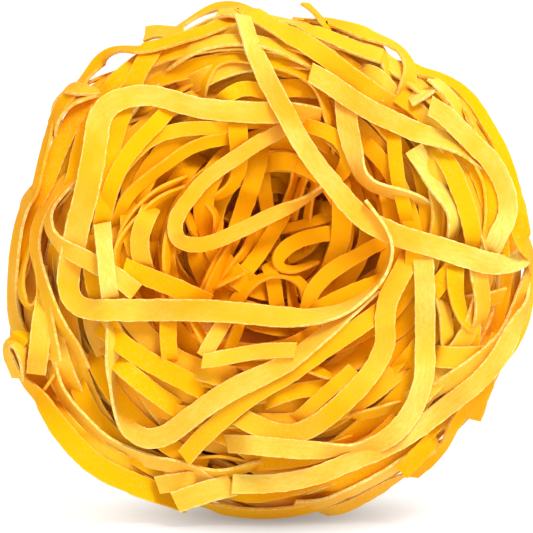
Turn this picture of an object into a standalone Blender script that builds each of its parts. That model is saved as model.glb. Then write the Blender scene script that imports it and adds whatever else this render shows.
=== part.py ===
"""A nest of dry ribbon pasta, standing on its rim with its open face to the front, which is -Y.

The nest is one solid. Its core has the form of a thick round cushion with a hollow in each face, and
ribbons of the real width and thickness are wound round it, cross its face and are fused to it.
Lengths are in metres, and the origin is on the ground under the middle of the nest.
"""

import math

import bmesh
import bpy
import numpy as np

NAME = "pasta_nest"

# Form of the nest, seen as a body whose axis runs from front to back.
OUTLINE_RADIUS = 0.0378
HALF_DEPTH = 0.0204
SQUARENESS = 0.80
RIM_RIPPLE = 0.0004
RIM_RIPPLE_WAVES = 3
FRONT_HOLLOW_ACROSS = 0.0025
FRONT_HOLLOW_UP = 0.0065
FRONT_HOLLOW_DEPTH = 0.0125
FRONT_HOLLOW_RADIUS = 0.0150
BACK_HOLLOW_DEPTH = 0.0050
BACK_HOLLOW_RADIUS = 0.0100
FOOT_CUT = 0.0010

# One ribbon of pasta.
RIBBON_WIDTH = 0.0032
RIBBON_THICKNESS = 0.0009
SEGMENT_LENGTH = 0.0060
FEWEST_WOUND_ROWS = 12
FEWEST_LOOSE_ROWS = 8

# The core lies this far under the skin that the outer ribbons lie in.
CORE_DEPTH = 0.0021
CORE_SEGMENTS = 28
CORE_RINGS = 16
FOOT_SPREAD = 0.26

# Wound ribbons: how many lie in each belt, the belt's angle from the front axis and its spread, in degrees.
SEED = 7
BELTS = {
    "front_inner": (3, 27, 9),
    "front": (5, 44, 12),
    "shoulder": (5, 64, 12),
    "rim": (6, 90, 13),
    "back_shoulder": (3, 116, 12),
    "back": (4, 143, 16),
}
BELT_LIMITS = (16, 168)
TURN_SPAN = (190, 300)
TILT_SHARES = (0.5, 1.0)
SECOND_TILT = 0.25
LAYER_LIFTS = (-0.0016, -0.0008, 0.0)
WAVER = 0.0004
WAVERS_PER_TURN = 5

# Loose ribbons over the face, as points (across, up, lift, roll): millimetres from the middle of the
# face, millimetres off the face with its hollow filled, and degrees of roll out of the face.
LOOSE_RIBBONS = {
    "diagonal": [(-4, 35, -1, 0), (-1, 27, 0, 0), (4, 17, 1, 0), (12, 8, 1, 0), (24, 1, 1, 0), (35, 0, -1, 0)],
    "band": [(-30, -2, -1, 0), (-25, -7, 0, 0), (-8, -8, 0, 0), (5, -9, 0, 0), (14, -6, 1, 60), (18, 1, 1, 80)],
    "hook": [(4, 20, 0, 0), (-5, 15, 0, 0), (-13, 8, -1, 30), (-12, 2, -2, 20), (-2, 5, -1, 0), (8, 9, -2, 50)],
    "swing": [(-22, -9, 0, 20), (-23, -19, 1, 40), (-17, -26, 1, 0), (-7, -20, 0, 0), (12, -8, -1, 0)],
    "upright": [(23, 1, -1, 0), (23, -12, 0, 0), (20, -23, 0, 0), (11, -28, 0, 0), (-3, -25, 0, 0)],
    "crown": [(-26, 0, -1, 0), (-25, 17, 0, 0), (-17, 24, 0, 0), (-3, 21, 0, 0), (10, 18, -1, 0)],
    "shoulder_sweep": [(2, 28, -1, 0), (13, 22, 0, 0), (26, 15, 0, 0), (34, 5, -1, 0)],
    "slant": [(-18, 3, -3, 0), (-10, -5, -2, 0), (-3, -14, -1, 0), (-15, -30, 0, 0)],
    "inner_arc": [(13, 1, -3, 0), (5, -4, -3, 0), (7, -9, -2, 0), (24, -20, -1, 0)],
}
# The face is a little wider than the outline, and a ribbon that reaches it leans over by this much.
FACE_MARGIN = 1.02
LEAN_AT_RIM = 65.0


def clear_scene():
    for old in list(bpy.data.objects):
        bpy.data.objects.remove(old, do_unlink=True)


def outline_radius(theta):
    """Radius of the outline, seen from the front. Theta is 0 at +X and a quarter turn at the top."""
    return OUTLINE_RADIUS + RIM_RIPPLE * np.cos(RIM_RIPPLE_WAVES * theta)


def skin(theta, psi):
    """Points of the nest's skin. Psi is 0 in the front hollow and a quarter turn at the rim."""
    sine = np.clip(np.sin(psi), 0.0, 1.0)
    cosine = np.cos(psi)
    rho = outline_radius(theta) * sine**SQUARENESS
    depth = -HALF_DEPTH * np.sign(cosine) * np.abs(cosine) ** SQUARENESS
    # The front hollow lies off the middle, so the rings round it are shifted towards it.
    shift = np.where(cosine > 0, 1.0 - (rho / outline_radius(theta)) ** 2, 0.0)
    across = rho * np.cos(theta) + FRONT_HOLLOW_ACROSS * shift
    up = rho * np.sin(theta) + FRONT_HOLLOW_UP * shift
    apart = np.hypot(across - FRONT_HOLLOW_ACROSS, up - FRONT_HOLLOW_UP)
    front = FRONT_HOLLOW_DEPTH * np.exp(-((apart / FRONT_HOLLOW_RADIUS) ** 2))
    back = BACK_HOLLOW_DEPTH * np.exp(-((rho / BACK_HOLLOW_RADIUS) ** 2))
    depth = depth + np.where(cosine > 0, front, -back)
    return np.stack([across, depth, up], axis=-1)


def unit(vectors):
    return vectors / np.maximum(np.linalg.norm(vectors, axis=-1, keepdims=True), 1e-12)


def skin_normal(theta, psi, step=0.02):
    """Outward normals of the skin, from differences along its two angles."""
    psi = np.clip(psi, 2 * step, math.pi - 2 * step)
    along = skin(theta + step, psi) - skin(theta - step, psi)
    down = skin(theta, psi + step) - skin(theta, psi - step)
    return unit(np.cross(down, along))


def make_core():
    """The body under the ribbons: a round ball, reshaped to the skin less the core's depth."""
    mesh = bpy.data.meshes.new(NAME)
    work = bmesh.new()
    bmesh.ops.create_uvsphere(work, u_segments=CORE_SEGMENTS, v_segments=CORE_RINGS, radius=1.0)
    for vertex in work.verts:
        # The ball's poles, on its Z axis, become the middles of the front and the back.
        psi = math.acos(max(-1.0, min(1.0, vertex.co.z)))
        theta = math.atan2(vertex.co.y, vertex.co.x)
        round_rim = (theta + math.pi / 2) / FOOT_SPREAD
        over_rim = (psi - math.pi / 2) / (2 * FOOT_SPREAD)
        lift = -CORE_DEPTH * (1.0 - math.exp(-(round_rim**2) - over_rim**2))
        vertex.co = skin(theta, psi) + skin_normal(theta, psi) * lift
    bmesh.ops.recalc_face_normals(work, faces=work.faces)
    work.to_mesh(mesh)
    work.free()
    return bpy.data.objects.new(NAME, mesh)


def make_ribbon(name, points, normals, collection):
    """A strip laid along the points, flat to the normals, made solid by a Solidify modifier."""
    tangents = unit(np.gradient(points, axis=0))
    across = unit(np.cross(normals, tangents))
    rows = len(points)
    work = bmesh.new()
    bmesh.ops.create_grid(work, x_segments=1, y_segments=rows - 1, size=1.0)
    for vertex in work.verts:
        row = round((vertex.co.y + 1.0) / 2.0 * (rows - 1))
        vertex.co = points[row] + across[row] * vertex.co.x * RIBBON_WIDTH / 2
    mesh = bpy.data.meshes.new(name)
    work.to_mesh(mesh)
    work.free()
    ribbon = bpy.data.objects.new(name, mesh)
    collection.objects.link(ribbon)
    shell = ribbon.modifiers.new("thickness", "SOLIDIFY")
    shell.thickness = RIBBON_THICKNESS
    shell.offset = 0.0
    return ribbon


def wound_ribbon(draw, middle, belt_spread, lift):
    """Points and normals of a ribbon that runs round the nest's axis in a tilted, wavering loop."""
    span = math.radians(draw.uniform(*TURN_SPAN))
    start = draw.uniform(0.0, 2 * math.pi)
    middle = math.radians(middle)
    tilt = math.radians(belt_spread) * draw.uniform(*TILT_SHARES)
    tilt_phase, waver_phase = draw.uniform(0.0, 2 * math.pi, 2)
    length = span * OUTLINE_RADIUS * math.sin(middle)
    count = max(FEWEST_WOUND_ROWS, int(length / SEGMENT_LENGTH))
    theta = start + np.linspace(0.0, span, count)
    psi = middle + tilt * (np.cos(theta + tilt_phase) + SECOND_TILT * np.cos(3 * theta + waver_phase))
    psi = np.clip(psi, *np.radians(BELT_LIMITS))
    normals = skin_normal(theta, psi)
    lifts = lift + WAVER * np.cos(WAVERS_PER_TURN * theta + waver_phase)
    return skin(theta, psi) + normals * lifts[:, None], normals


def filled_face_height(rho):
    """How far the front face stands before the nest's middle plane, with its hollow filled."""
    share = np.clip(rho / (OUTLINE_RADIUS * FACE_MARGIN), 0.0, 1.0)
    return HALF_DEPTH * (1.0 - share ** (2.0 / SQUARENESS)) ** (SQUARENESS / 2.0)


def smooth_through(points, count):
    """A Catmull-Rom curve through the points, read at evenly shared places."""
    padded = np.vstack([2 * points[0] - points[1], points, 2 * points[-1] - points[-2]])
    places = np.linspace(0.0, len(points) - 1.0, count)
    first = np.minimum(places.astype(int), len(points) - 2)
    t = (places - first)[:, None]
    a, b, c, d = (padded[first + k] for k in range(4))
    return 0.5 * (2 * b + (c - a) * t + (2 * a - 5 * b + 4 * c - d) * t**2 + (3 * b - a - 3 * c + d) * t**3)


def loose_ribbon(route):
    """Points and normals of a ribbon laid over the face along a route of LOOSE_RIBBONS."""
    route = np.array(route, float)
    length = np.linalg.norm(np.diff(route[:, :2], axis=0), axis=1).sum() / 1000
    path = smooth_through(route, max(FEWEST_LOOSE_ROWS, int(length / SEGMENT_LENGTH)))
    across, up, lift = (path[:, :3] / 1000).T
    rho = np.hypot(across, up)
    points = np.stack([across, -filled_face_height(rho) - lift, up], axis=-1)
    lean = np.radians(LEAN_AT_RIM) * (rho / OUTLINE_RADIUS) ** 3
    outward = unit(np.stack([across, np.zeros_like(rho), up], axis=-1))
    front = np.array([0.0, -1.0, 0.0])
    normals = outward * np.sin(lean)[:, None] + front * np.cos(lean)[:, None]
    tangents = unit(np.gradient(points, axis=0))
    normals = unit(normals - tangents * (normals * tangents).sum(axis=1, keepdims=True))
    roll = np.radians(path[:, 3])[:, None]
    return points, normals * np.cos(roll) + np.cross(tangents, normals) * np.sin(roll)


def make_ribbons(collection):
    draw = np.random.RandomState(SEED)
    for belt, (count, angle, spread) in BELTS.items():
        for index in range(count):
            middle = angle + spread * ((index + 0.5) / count - 0.5) * 2
            points, normals = wound_ribbon(draw, middle, spread, LAYER_LIFTS[index % len(LAYER_LIFTS)])
            make_ribbon(f"{belt}_{index}", points, normals, collection)
    for name, route in LOOSE_RIBBONS.items():
        make_ribbon(name, *loose_ribbon(route), collection)


def bake(target):
    """Replaces an object's mesh by its evaluated one, and drops its modifiers."""
    graph = bpy.context.evaluated_depsgraph_get()
    made = bpy.data.meshes.new_from_object(target.evaluated_get(graph))
    target.modifiers.clear()
    target.data = made


def fuse(target, collection):
    """One Boolean union of the core and every ribbon, applied."""
    union = target.modifiers.new("fuse", "BOOLEAN")
    union.operation = "UNION"
    union.operand_type = "COLLECTION"
    union.collection = collection
    union.solver = "EXACT"
    bake(target)
    for ribbon in list(collection.objects):
        bpy.data.objects.remove(ribbon, do_unlink=True)
    bpy.data.collections.remove(collection)


def shells_of(work):
    """The mesh's connected shells, each as a list of faces."""
    left = set(work.faces)
    shells = []
    while left:
        stack = [left.pop()]
        shell = []
        while stack:
            face = stack.pop()
            shell.append(face)
            for edge in face.edges:
                for other in edge.link_faces:
                    if other in left:
                        left.discard(other)
                        stack.append(other)
        shells.append(shell)
    return shells


def keep_outer_shell(target):
    """Fills hollows that the fusing sealed, and drops loose scraps, by keeping the largest shell alone."""
    work = bmesh.new()
    work.from_mesh(target.data)
    shells = sorted(shells_of(work), key=len)
    extra = [face for shell in shells[:-1] for face in shell]
    bmesh.ops.delete(work, geom=extra, context="FACES")
    work.to_mesh(target.data)
    work.free()


def cut_foot(target):
    """Cuts the flat spot that the nest stands on, and puts the origin on it, under the middle."""
    block = bmesh.new()
    bmesh.ops.create_cube(block, size=4 * OUTLINE_RADIUS)
    floor_height = FOOT_CUT - OUTLINE_RADIUS
    bmesh.ops.translate(block, verts=block.verts, vec=(0, 0, floor_height - 2 * OUTLINE_RADIUS))
    mesh = bpy.data.meshes.new("foot_cutter")
    block.to_mesh(mesh)
    block.free()
    cutter = bpy.data.objects.new("foot_cutter", mesh)
    bpy.context.scene.collection.objects.link(cutter)
    cut = target.modifiers.new("foot", "BOOLEAN")
    cut.operation = "DIFFERENCE"
    cut.solver = "EXACT"
    cut.object = cutter
    bake(target)
    bpy.data.objects.remove(cutter, do_unlink=True)
    corners = np.array([vertex.co for vertex in target.data.vertices])
    middle = (corners.min(axis=0) + corners.max(axis=0)) / 2
    for vertex in target.data.vertices:
        vertex.co.x -= middle[0]
        vertex.co.y -= middle[1]
        vertex.co.z -= floor_height


def pasta_material():
    material = bpy.data.materials.new("egg_pasta")
    material.use_nodes = True
    shader = material.node_tree.nodes["Principled BSDF"]
    shader.inputs["Base Color"].default_value = (0.93, 0.56, 0.07, 1.0)
    shader.inputs["Roughness"].default_value = 0.55
    shader.inputs["Metallic"].default_value = 0.0
    return material


def main():
    clear_scene()
    parts = bpy.data.collections.new(NAME)
    ribbons = bpy.data.collections.new("ribbons")
    for collection in (parts, ribbons):
        bpy.context.scene.collection.children.link(collection)
    nest = make_core()
    parts.objects.link(nest)
    make_ribbons(ribbons)
    fuse(nest, ribbons)
    keep_outer_shell(nest)
    cut_foot(nest)
    keep_outer_shell(nest)
    nest.data.materials.clear()
    nest.data.materials.append(pasta_material())


main()
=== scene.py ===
"""The looks of a nest of dry ribbon pasta that stands on its rim, with its open face to the front.

The nest is a core with several layers of ribbons. Wound ribbons run round the nest's axis and cover it on all
sides. Over them lie the ribbons that the face shows one by one, each along its own route. Each is laid on
what is there already: two height maps, one seen from the front and one over the whole skin, say how high the
nest stands at each place. Lengths are in millimetres until a mesh is made.
"""

import math

import bpy
import numpy as np
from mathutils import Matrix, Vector

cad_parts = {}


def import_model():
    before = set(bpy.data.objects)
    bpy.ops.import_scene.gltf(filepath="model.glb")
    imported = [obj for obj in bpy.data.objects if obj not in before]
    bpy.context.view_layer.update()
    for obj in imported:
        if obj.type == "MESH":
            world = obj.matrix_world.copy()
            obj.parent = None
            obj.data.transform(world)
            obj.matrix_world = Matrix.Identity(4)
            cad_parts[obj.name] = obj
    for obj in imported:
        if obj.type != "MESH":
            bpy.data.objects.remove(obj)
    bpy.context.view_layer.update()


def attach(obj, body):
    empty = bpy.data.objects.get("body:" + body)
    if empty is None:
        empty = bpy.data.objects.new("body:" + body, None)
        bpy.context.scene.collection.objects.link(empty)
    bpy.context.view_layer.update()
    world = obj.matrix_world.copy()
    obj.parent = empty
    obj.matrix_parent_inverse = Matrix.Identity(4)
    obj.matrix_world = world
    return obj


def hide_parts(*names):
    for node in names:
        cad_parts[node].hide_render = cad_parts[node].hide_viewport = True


MM = 0.001

# The nest's body, as the frame has it.
OUTLINE_RADIUS = 37.8
HALF_DEPTH = 20.4
SQUARENESS = 0.80
CENTRE_HEIGHT = 36.8
HOLLOW_CENTRE = (2.5, 6.5)
HOLLOW_DEPTH = 12.5
HOLLOW_RADIUS = 15.0
BACK_HOLLOW_DEPTH = 5.0
BACK_HOLLOW_RADIUS = 10.0
# Where the outline stands out or falls in: angle in degrees, millimetres, spread in degrees.
OUTLINE_BUMPS = [
    (59, -3.4, 7), (80, -1.8, 13), (111, -1.4, 8), (127, -3.0, 9), (162, -2.2, 16), (203, 0.8, 10),
    (223, -0.4, 8), (256, -1.8, 8), (300, -0.9, 8), (316, -1.3, 9), (334, -0.8, 8),
]

# Ribbons, in millimetres: width, thickness and bevel, and the least and the most width of a traced one.
RIBBON_WIDTH = 3.2
RIBBON_THICKNESS = 0.44
EDGE_BEVEL = 0.05
NARROWEST = 2.35
BROADEST = 3.5
# Dry ribbons are pressed into each other: the share of its thickness that each adds to the heap, the gap
# under it, and how far one on edge sinks in, as a share of its width.
PRESS = 0.9
LAYER_GAP = 0.25
SINKING = 0.27
# The share of the outer shape's size that a point lies under it where it counts as fully inside.
FULLY_INSIDE = 0.23
# The least height of a ribbon's middle line over the floor, and the height of a place where nothing lies.
LOWEST_LINE = 0.5
NOTHING = -100.0
TINY = 1e-9

# The picture: its size and middle in pixels, the millimetres in one at the camera's target, and the camera.
PICTURE_SIZE = 533
PICTURE_MIDDLE = 266.5
PIXEL = 0.1445
CAMERA_DISTANCE = 600.0
CAMERA_ELEVATION = math.radians(6.0)
CAMERA_TARGET = np.array([0.0, -3.0, 36.55])

RIGHT = np.array([1.0, 0.0, 0.0])
FORWARD = np.array([0.0, math.cos(CAMERA_ELEVATION), -math.sin(CAMERA_ELEVATION)])
UPWARD = np.array([0.0, math.sin(CAMERA_ELEVATION), math.cos(CAMERA_ELEVATION)])
CAMERA_PLACE = CAMERA_TARGET - CAMERA_DISTANCE * FORWARD
PIXELS_PER_SLOPE = CAMERA_DISTANCE / PIXEL

DRAW = np.random.RandomState(20)


def unit(vectors):
    return vectors / np.maximum(np.linalg.norm(vectors, axis=-1, keepdims=True), TINY)


def to_picture(points):
    """Pixels of points in the picture."""
    away = points - CAMERA_PLACE
    depth = away @ FORWARD
    across = PICTURE_MIDDLE + PIXELS_PER_SLOPE * (away @ RIGHT) / depth
    down = PICTURE_MIDDLE - PIXELS_PER_SLOPE * (away @ UPWARD) / depth
    return across, down


def from_picture(across, down, height):
    """Points seen at these pixels, this far in front of the nest's middle plane."""
    ray = (
        FORWARD
        + np.multiply.outer((across - PICTURE_MIDDLE) / PIXELS_PER_SLOPE, RIGHT)
        + np.multiply.outer((PICTURE_MIDDLE - down) / PIXELS_PER_SLOPE, UPWARD)
    )
    return CAMERA_PLACE + ray * ((-height - CAMERA_PLACE[1]) / ray[..., 1])[..., None]


def blur(values, sigma):
    """Gaussian blur along the first axis, with the ends held."""
    if sigma <= 0:
        return values
    reach = max(1, int(3 * sigma))
    kernel = np.exp(-0.5 * (np.arange(-reach, reach + 1) / sigma) ** 2)
    kernel /= kernel.sum()
    if values.ndim == 1:
        return np.convolve(np.pad(values, reach, mode="edge"), kernel, mode="valid")
    return np.stack([blur(column, sigma) for column in values.T], axis=1)


# The nest's skin.


def outline_radius(theta):
    radius = np.full(np.shape(theta), OUTLINE_RADIUS)
    for angle, depth, spread in OUTLINE_BUMPS:
        apart = np.degrees(np.angle(np.exp(1j * (theta - math.radians(angle)))))
        radius = radius + depth * np.exp(-((apart / spread) ** 2))
    return radius


def skin(theta, psi):
    """Points of the skin. Psi is 0 in the front hollow, a quarter turn at the rim and a half at the back."""
    limit = outline_radius(theta)
    cosine = np.cos(psi)
    rho = limit * np.clip(np.sin(psi), 0.0, 1.0) ** SQUARENESS
    toward = HALF_DEPTH * np.sign(cosine) * np.abs(cosine) ** SQUARENESS
    middle = np.where(cosine > 0, 1.0 - (rho / limit) ** 2, 0.0)
    x = rho * np.cos(theta) + HOLLOW_CENTRE[0] * middle
    z = rho * np.sin(theta) + HOLLOW_CENTRE[1] * middle
    front = hollow_depth(x, z)
    back = BACK_HOLLOW_DEPTH * np.exp(-((rho / BACK_HOLLOW_RADIUS) ** 2))
    toward = toward - np.where(cosine > 0, front, -back)
    return np.stack([x, -toward, z + CENTRE_HEIGHT], axis=-1)


def hollow_depth(x, z):
    """How far the front hollow goes in. Z is from the nest's centre."""
    apart = (x - HOLLOW_CENTRE[0]) ** 2 + (z - HOLLOW_CENTRE[1]) ** 2
    return HOLLOW_DEPTH * np.exp(-apart / HOLLOW_RADIUS**2)


def skin_frame(theta, psi, step=0.01):
    """Outward normals of the skin, and its two directions with their lengths for each radian."""
    psi = np.clip(psi, 2 * step, math.pi - 2 * step)
    along = (skin(theta + step, psi) - skin(theta - step, psi)) / (2 * step)
    down = (skin(theta, psi + step) - skin(theta, psi - step)) / (2 * step)
    return unit(np.cross(down, along)), along, down


# How far the face reaches, as a share of the outline, and the share of that at which it is read at most.
FACE_REACH = 1.02
MOST_SHARE = 0.999


def face_height(x, z):
    """Height of the front face with its hollow filled. Z is from the nest's centre."""
    limit = outline_radius(np.arctan2(z, x)) * FACE_REACH
    share = np.clip(np.hypot(x, z) / limit, 0.0, MOST_SHARE)
    return HALF_DEPTH * (1.0 - share ** (2.0 / SQUARENESS)) ** (SQUARENESS / 2.0)


def hollowed_height(x, z):
    return face_height(x, z) - hollow_depth(x, z)


def depth_share(points):
    """How deep points lie under the nest's outer shape, from 0 on it to 1."""
    x, z = points[:, 0], points[:, 2] - CENTRE_HEIGHT
    ring = np.hypot(x, z) / outline_radius(np.arctan2(z, x))
    depth = np.abs(points[:, 1]) / HALF_DEPTH
    level = (ring ** (2.0 / SQUARENESS) + depth ** (2.0 / SQUARENESS)) ** (SQUARENESS / 2.0)
    return np.clip((1.0 - level) / FULLY_INSIDE, 0.0, 1.0)


# Height maps, and how a ribbon is laid on them.


class HeightMap:
    """A grid of heights that only grows. Places are given in grid units."""

    def __init__(self, columns, rows, wraps):
        self.heights = np.full((rows, columns), NOTHING)
        self.wraps = wraps

    def index(self, column, row):
        column = np.rint(column).astype(int)
        row = np.clip(np.rint(row).astype(int), 0, self.heights.shape[0] - 1)
        if self.wraps:
            return column % self.heights.shape[1], row
        return np.clip(column, 0, self.heights.shape[1] - 1), row

    def raise_to(self, column, row, height):
        column, row = self.index(column, row)
        np.maximum.at(self.heights, (row, column), height)

    def read(self, column, row):
        column, row = self.index(column, row)
        return self.heights[row, column]


# Pixels in a cell of the front map and round the picture, and the skin map's cells round the nest.
FRONT_CELL = 2.0
FRONT_MARGIN = 20
SKIN_CELLS = 720
# Where a ribbon reads and raises the maps, across its width and along it, and how much denser its record is.
SIDE_STEPS = np.linspace(-1.0, 1.0, 9)
SKIN_SIDES = np.linspace(-1.0, 1.0, 11)
SKIN_SHIFTS = (-0.25, 0.25)
FRONT_SIDES = np.linspace(-1.0, 1.0, 15)
FRONT_SHIFTS = (0.0, 0.5)
DENSER = 3


def front_places(across, down):
    return (across + FRONT_MARGIN) / FRONT_CELL, (down + FRONT_MARGIN) / FRONT_CELL


def skin_places(theta, psi):
    return theta / (2 * math.pi) * SKIN_CELLS, psi / math.pi * SKIN_CELLS / 2


front_cells = int((PICTURE_SIZE + 2 * FRONT_MARGIN) / FRONT_CELL)
front_map = HeightMap(front_cells, front_cells, wraps=False)
skin_map = HeightMap(SKIN_CELLS, SKIN_CELLS // 2 + 1, wraps=True)


def settle(wanted, support, sigma, rounds=6, last_share=0.4):
    """A taut line that keeps to the wanted heights and stays above the support."""
    line = np.maximum(wanted, support)
    for _ in range(rounds):
        line = np.maximum(blur(line, sigma), support)
    return blur(line, sigma * last_share)


def half_extent(roll):
    """How far a ribbon's middle line lies over what carries it. A ribbon that stands on edge sinks in."""
    return (
        LAYER_GAP
        + PRESS * RIBBON_THICKNESS / 2 * np.abs(np.cos(roll))
        - SINKING * RIBBON_WIDTH * np.abs(np.sin(roll))
    )


def resample(values, places):
    grid = np.arange(len(values))
    return np.stack([np.interp(places, grid, column) for column in values.T], axis=1)


def record_on_front(points, normals, across, width):
    """Raises the front map under a ribbon's outer face."""
    dense = np.linspace(0, len(points) - 1, len(points) * DENSER)
    points, normals, across = (resample(values, dense) for values in (points, normals, across))
    for side in FRONT_SIDES:
        for shift in FRONT_SHIFTS:
            base = points[:-1] * (1 - shift) + points[1:] * shift
            face = base + (across * width / 2 * side + normals * PRESS * RIBBON_THICKNESS / 2)[:-1]
            column, row = front_places(*to_picture(face))
            front_map.raise_to(column, row, -face[:, 1])


# Ribbon meshes.


def section(width, cup):
    """Outline of a ribbon's cross-section, as (across, out) pairs, slightly cupped."""
    half, thick, bevel = width / 2, RIBBON_THICKNESS / 2, EDGE_BEVEL
    outline = [
        (-half + bevel, thick),
        (0.0, thick),
        (half - bevel, thick),
        (half, thick - bevel),
        (half, bevel - thick),
        (half - bevel, -thick),
        (0.0, -thick),
        (bevel - half, -thick),
        (-half, bevel - thick),
        (-half, thick - bevel),
    ]
    return [(u, v + cup * ((u / half) ** 2 - 0.5)) for u, v in outline]


# A ribbon's edges: how ragged they are, and over how many rows. Its ends: how slanted they are cut at most,
# and over how many millimetres. Where along the grain it starts at most, and the angle from which an edge is
# sharp.
ROUGHNESS = 0.03
RAGGED_ROWS = 0.6
END_SLANT = 0.25
END_LENGTH = 1.2
GRAIN_START = 500
ATTRIBUTES = ("across", "along", "tone", "inside")
SHARP_ANGLE = math.radians(32)


class RibbonHeap:
    """Collects ribbons as arrays, to be made one mesh."""

    def __init__(self, name):
        self.name = name
        self.points = []
        self.faces = []
        self.across = []
        self.along = []
        self.tone = []
        self.inside = []
        self.count = 0

    def add(self, points, normals, width, cup, roughness=ROUGHNESS, tone=None, scale=None):
        tangents = unit(np.gradient(points, axis=0))
        normals = unit(normals - tangents * (normals * tangents).sum(axis=1, keepdims=True))
        across = np.cross(tangents, normals)
        rows = len(points)
        outline = np.array(section(width, cup))
        sides = len(outline)
        half = width / 2
        ragged = 1.0 + blur(DRAW.normal(0.0, 1.0, (rows, 2)), RAGGED_ROWS) * roughness
        if scale is not None:
            ragged = ragged * scale[:, None]
        slant = DRAW.uniform(-END_SLANT, END_SLANT, 2)
        distance = np.concatenate([[0.0], np.cumsum(np.linalg.norm(np.diff(points, axis=0), axis=1))])
        first_rows = np.exp(-distance / END_LENGTH) * slant[0]
        last_rows = np.exp(-(distance[-1] - distance) / END_LENGTH) * slant[1]
        place = np.empty((rows, sides, 3))
        for k, (u, v) in enumerate(outline):
            spread = ragged[:, 0] if u < 0 else ragged[:, 1]
            slide = (first_rows + last_rows) * u
            place[:, k] = points + across * (u * spread)[:, None] + normals * v + tangents * slide[:, None]
        place[..., 2] = np.maximum(place[..., 2], 0.0)
        start = self.count
        ring = np.arange(sides)
        row = np.arange(rows - 1)[:, None] * sides + start
        after = (ring + 1) % sides
        quads = np.stack([row + ring, row + after, row + sides + after, row + sides + ring], axis=-1)
        self.faces.extend(quads.reshape(-1, 4).tolist())
        self.faces.append((start + ring[::-1]).tolist())
        self.faces.append((start + (rows - 1) * sides + ring).tolist())
        self.points.append(place.reshape(-1, 3))
        self.across.append(np.tile(outline[:, 0] / half, rows))
        self.along.append(np.repeat(distance + DRAW.uniform(0, GRAIN_START), sides))
        tone = DRAW.uniform(0, 1) if tone is None else tone
        self.tone.append(np.full(rows * sides, tone))
        self.inside.append(depth_share(self.points[-1]))
        self.count += rows * sides

    def build(self, material):
        mesh = bpy.data.meshes.new(self.name)
        mesh.from_pydata((np.concatenate(self.points) * MM).tolist(), [], self.faces)
        for name in ATTRIBUTES:
            attribute = mesh.attributes.new(name, "FLOAT", "POINT")
            attribute.data.foreach_set("value", np.concatenate(getattr(self, name)).astype(np.float32))
        mesh.shade_smooth()
        mesh.set_sharp_from_angle(angle=SHARP_ANGLE)
        mesh.materials.append(material)
        piece = bpy.data.objects.new(self.name, mesh)
        bpy.context.scene.collection.objects.link(piece)
        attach(piece, "root")
        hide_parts("pasta_nest")


# Wound ribbons.

# Belts: name, piece, how many ribbons, middle angle and spread in degrees from the front axis, lift of the
# lowest layer and of the highest one in millimetres, and most roll in degrees.
BELTS = [
    ("hollow", "wound_inner", 8, 15, 9, -6.6, -5.6, 50),
    ("inner", "wound_inner", 10, 30, 12, -6.6, -5.6, 45),
    ("front", "wound_front", 14, 46, 14, -6.6, -5.4, 45),
    ("shoulder", "wound_front", 17, 64, 16, -6.2, -4.0, 50),
    ("rim_front", "wound_rim", 18, 80, 15, -5.6, -1.4, 38),
    ("rim_back", "wound_rim", 17, 100, 16, -5.6, -1.6, 38),
    ("back_shoulder", "wound_back", 16, 119, 16, -5.2, -2.0, 40),
    ("back", "wound_back", 10, 136, 15, -5.2, -3.2, 40),
    ("back_inner", "wound_back", 8, 160, 12, -5.4, -4.0, 40),
]
PSI_LIMITS = np.radians((4.0, 174.0))
# The angle from the front axis up to which a ribbon counts for the face's own ribbons.
SEEN_PSI = math.pi / 2 + 0.3
# In the hollow a ribbon shows its face to the front rather than to the hollow's middle: by what share, the
# angle under which it starts, and over how much.
FACING_SHARE = 0.75
FACING_PSI = math.radians(50)
FACING_FADE = math.radians(20)
# The lift from which ribbons are eased, and the most that they get.
EASED_LIFT = -2.6
MOST_LIFT = -0.3
# Wound ribbons: millimetres in a step, how far the ends go in and over how many steps, shares of the usual
# width, lengths in millimetres and the longest turn, the fewest steps, cups, raggedness, how taut they are,
# and how much an edge rises.
WOUND_STEP = 1.4
WOUND_DIVE = 1.8
WOUND_DIVE_STEPS = 5.0
WOUND_WIDTHS = (0.86, 1.06)
WOUND_LENGTHS = (90, 240)
WOUND_TURN = math.radians(330)
FEWEST_STEPS = 14
WOUND_CUPS = (-0.12, 0.2)
WOUND_ROUGHNESS = 0.02
SKIN_EASE = 3.0
EDGE_RISE = 0.4


def limited(lift, eased, most):
    """Lifts eased under the highest one, so that what lies higher stays higher."""
    over = np.maximum(lift - eased, 0.0)
    room = most - eased
    return np.where(lift > eased, eased + room * (1.0 - np.exp(-over / room)), lift)


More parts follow.
